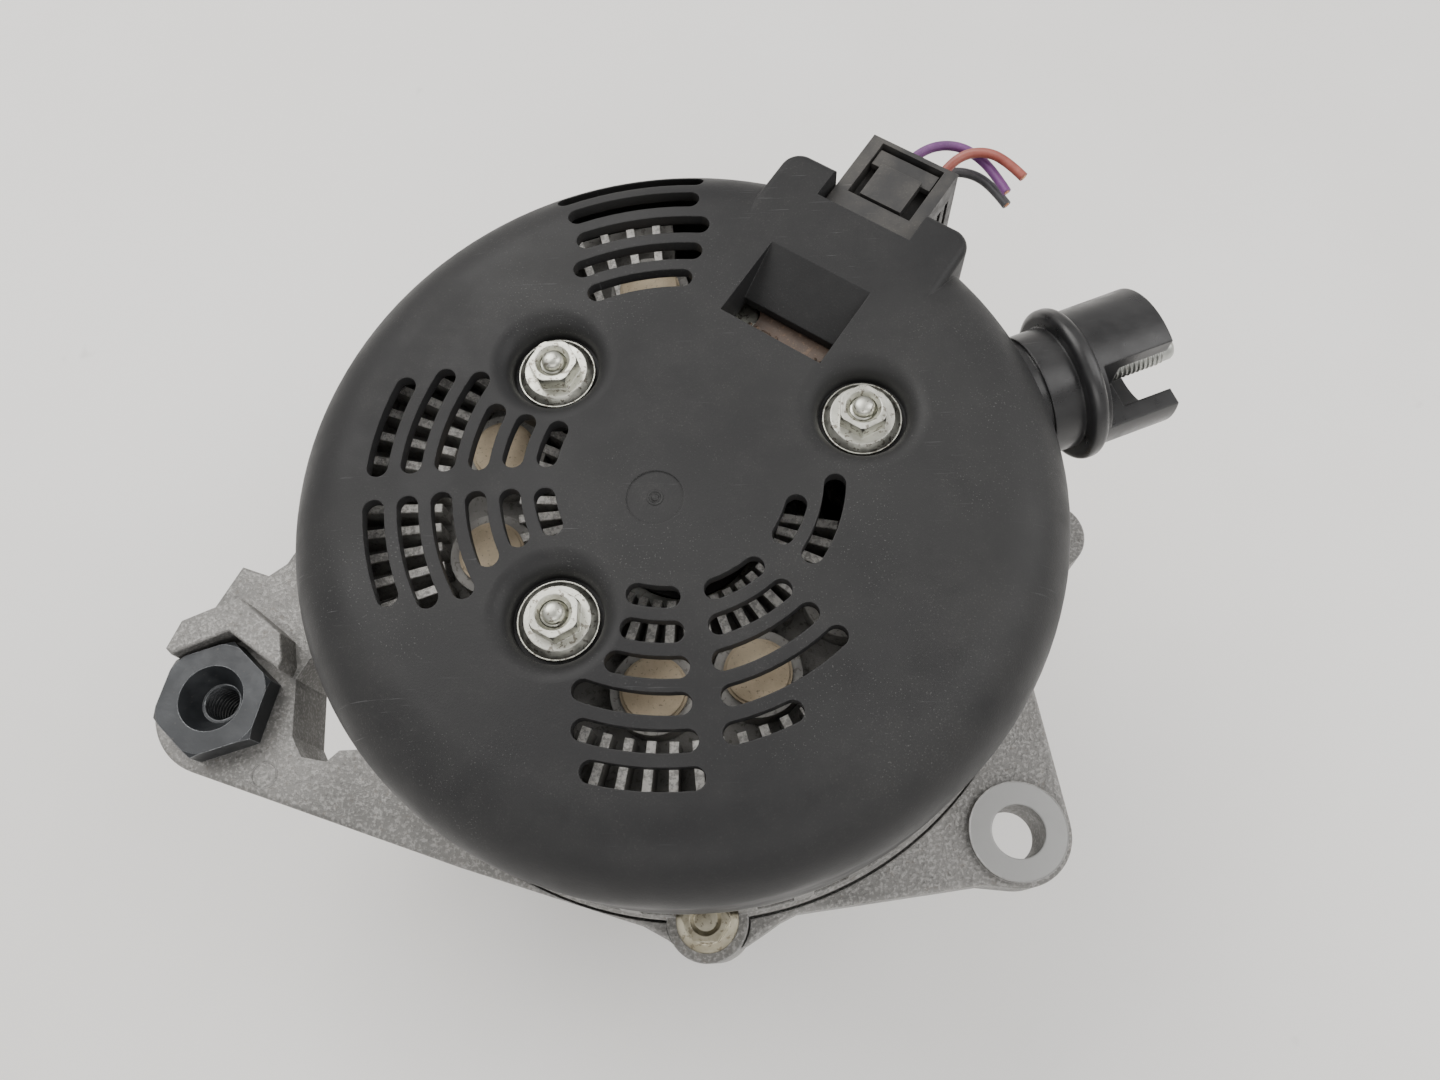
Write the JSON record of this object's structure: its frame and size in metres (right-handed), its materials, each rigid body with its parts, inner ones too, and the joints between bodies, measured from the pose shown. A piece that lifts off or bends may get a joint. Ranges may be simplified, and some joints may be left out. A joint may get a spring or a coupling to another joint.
{
  "type": "car alternator",
  "caption": "Car alternator with a vented black plastic rear cover, cast aluminium frames with mounting lugs, a side output stud, a latched plug and a ribbed belt pulley.",
  "frame": {"origin": "centre of the pulley's outer face, on the rotor's axis", "axes": "+Z along the rotor's axis from the pulley to the rear cover, +X from the slotted adjusting arm towards the side with the single lug and the output stud, +Y towards the connector's side"},
  "size_m": [0.2141, 0.1603, 0.1438],
  "materials": {
    "cover_plastic": "moulded black glass-filled nylon, dusty and lightly scratched",
    "zinc_steel": "zinc-plated steel, dulled",
    "cast_aluminium": "rough sand-cast aluminium",
    "yellow_zinc": "yellow zinc-plated steel",
    "black_steel": "black oxide steel",
    "core_steel": "bare mild steel",
    "enamelled_copper": "varnished copper wire",
    "tan_plastic": "glass-filled nylon",
    "bright_steel": "ground steel",
    "bare_copper": "bare copper",
    "black_plastic": "black moulded plastic",
    "pulley_steel": "turned steel",
    "ball_steel": "polished steel",
    "sink_aluminium": "die-cast aluminium, dusty",
    "diode_metal": "tarnished tin-plated copper",
    "brown_plastic": "dark brown moulded resin",
    "carbon": "pressed graphite",
    "spring_steel": "spring wire",
    "tinned_brass": "tin-plated brass",
    "plug_plastic": "dark grey moulded plastic, dusty",
    "terminal_plastic": "black satin plastic",
    "purple_wire": "purple wire insulation",
    "red_wire": "faded red wire insulation",
    "grey_wire": "dark grey wire insulation"
  },
  "bodies": {
    "housing": {"rear_cover": "cover_plastic", "cover_studs": "zinc_steel", "cover_washers": "zinc_steel", "cover_nuts": "zinc_steel", "rear_frame": "cast_aluminium", "front_frame": "cast_aluminium", "through_bolts": "yellow_zinc", "slip_nut": "black_steel", "stator_core": "core_steel", "stator_winding": "enamelled_copper", "front_bearing_outer_ring": "bright_steel", "rear_bearing_outer_ring": "bright_steel", "rear_bearing_sleeve": "black_plastic", "bearing_retainer": "zinc_steel", "retainer_screws": "zinc_steel", "positive_heat_sink": "sink_aluminium", "positive_diodes": "diode_metal", "negative_heat_sink": "sink_aluminium", "negative_diodes": "diode_metal", "terminal_holder": "brown_plastic", "rectifier_screws": "zinc_steel", "regulator": "brown_plastic", "regulator_screws": "zinc_steel", "brush_holder": "black_plastic", "lower_brush_spring": "spring_steel", "upper_brush_spring": "spring_steel", "connector_socket": "brown_plastic", "connector_pins": "tinned_brass", "terminal_insulator": "terminal_plastic", "terminal_stud": "bright_steel", "output_strap": "bare_copper"},
    "rotor": {"shaft": "bright_steel", "front_pole_claw": "core_steel", "rear_pole_claw": "core_steel", "field_core": "core_steel", "coil_bobbin": "tan_plastic", "field_coil": "enamelled_copper", "slip_rings": "bare_copper", "slip_ring_carrier": "black_plastic", "front_fan": "core_steel", "rear_fan": "core_steel", "spacer_collar": "bright_steel", "pulley": "pulley_steel", "pulley_nut": "black_steel", "front_bearing_inner_ring": "bright_steel", "rear_bearing_inner_ring": "bright_steel"},
    "front_ball_set": {"front_bearing_balls": "ball_steel", "front_bearing_cage": "black_plastic"},
    "rear_ball_set": {"rear_bearing_balls": "ball_steel", "rear_bearing_cage": "black_plastic"},
    "brush_lower": {"lower_brush": "carbon"},
    "brush_upper": {"upper_brush": "carbon"},
    "plug": {"connector_plug": "plug_plastic", "wire_purple": "purple_wire", "wire_red": "red_wire", "wire_grey": "grey_wire"},
    "latch": {"plug_latch": "plug_plastic"}
  },
  "joints": [
    {"name": "rotor_spin", "type": "hinge", "parent": "housing", "child": "rotor", "pos_m": [0, 0, 0.075], "axis": [0, 0, 1], "continuous": true},
    {"name": "front_balls_orbit", "type": "hinge", "parent": "housing", "child": "front_ball_set", "pos_m": [0, 0, 0.038], "axis": [0, 0, 1], "continuous": true},
    {"name": "rear_balls_orbit", "type": "hinge", "parent": "housing", "child": "rear_ball_set", "pos_m": [0, 0, 0.11], "axis": [0, 0, 1], "continuous": true},
    {"name": "lower_brush_travel", "type": "slide", "parent": "housing", "child": "brush_lower", "axis": [0.5592, 0.829, 0], "range_m": [0, 0.003], "stiffness_N_per_m": 300, "springref_m": -0.01, "deforming": ["lower_brush_spring"]},
    {"name": "upper_brush_travel", "type": "slide", "parent": "housing", "child": "brush_upper", "axis": [0.5592, 0.829, 0], "range_m": [0, 0.003], "stiffness_N_per_m": 300, "springref_m": -0.01, "deforming": ["upper_brush_spring"]},
    {"name": "plug_pull", "type": "slide", "parent": "housing", "child": "plug", "axis": [0.5592, 0.829, 0], "range_m": [0, 0.016]},
    {"name": "latch_press", "type": "hinge", "parent": "plug", "child": "latch", "pos_m": [0.04552, 0.06748, 0.1366], "axis": [0.829, -0.5592, 0], "range_deg": [0, 6], "stiffness_Nm_per_rad": 0.05, "springref_deg": -2.86}
  ],
  "couplings": [
    {"joint": "front_balls_orbit", "follows": "rotor_spin", "ratio": 0.366},
    {"joint": "rear_balls_orbit", "follows": "rotor_spin", "ratio": 0.38}
  ]
}
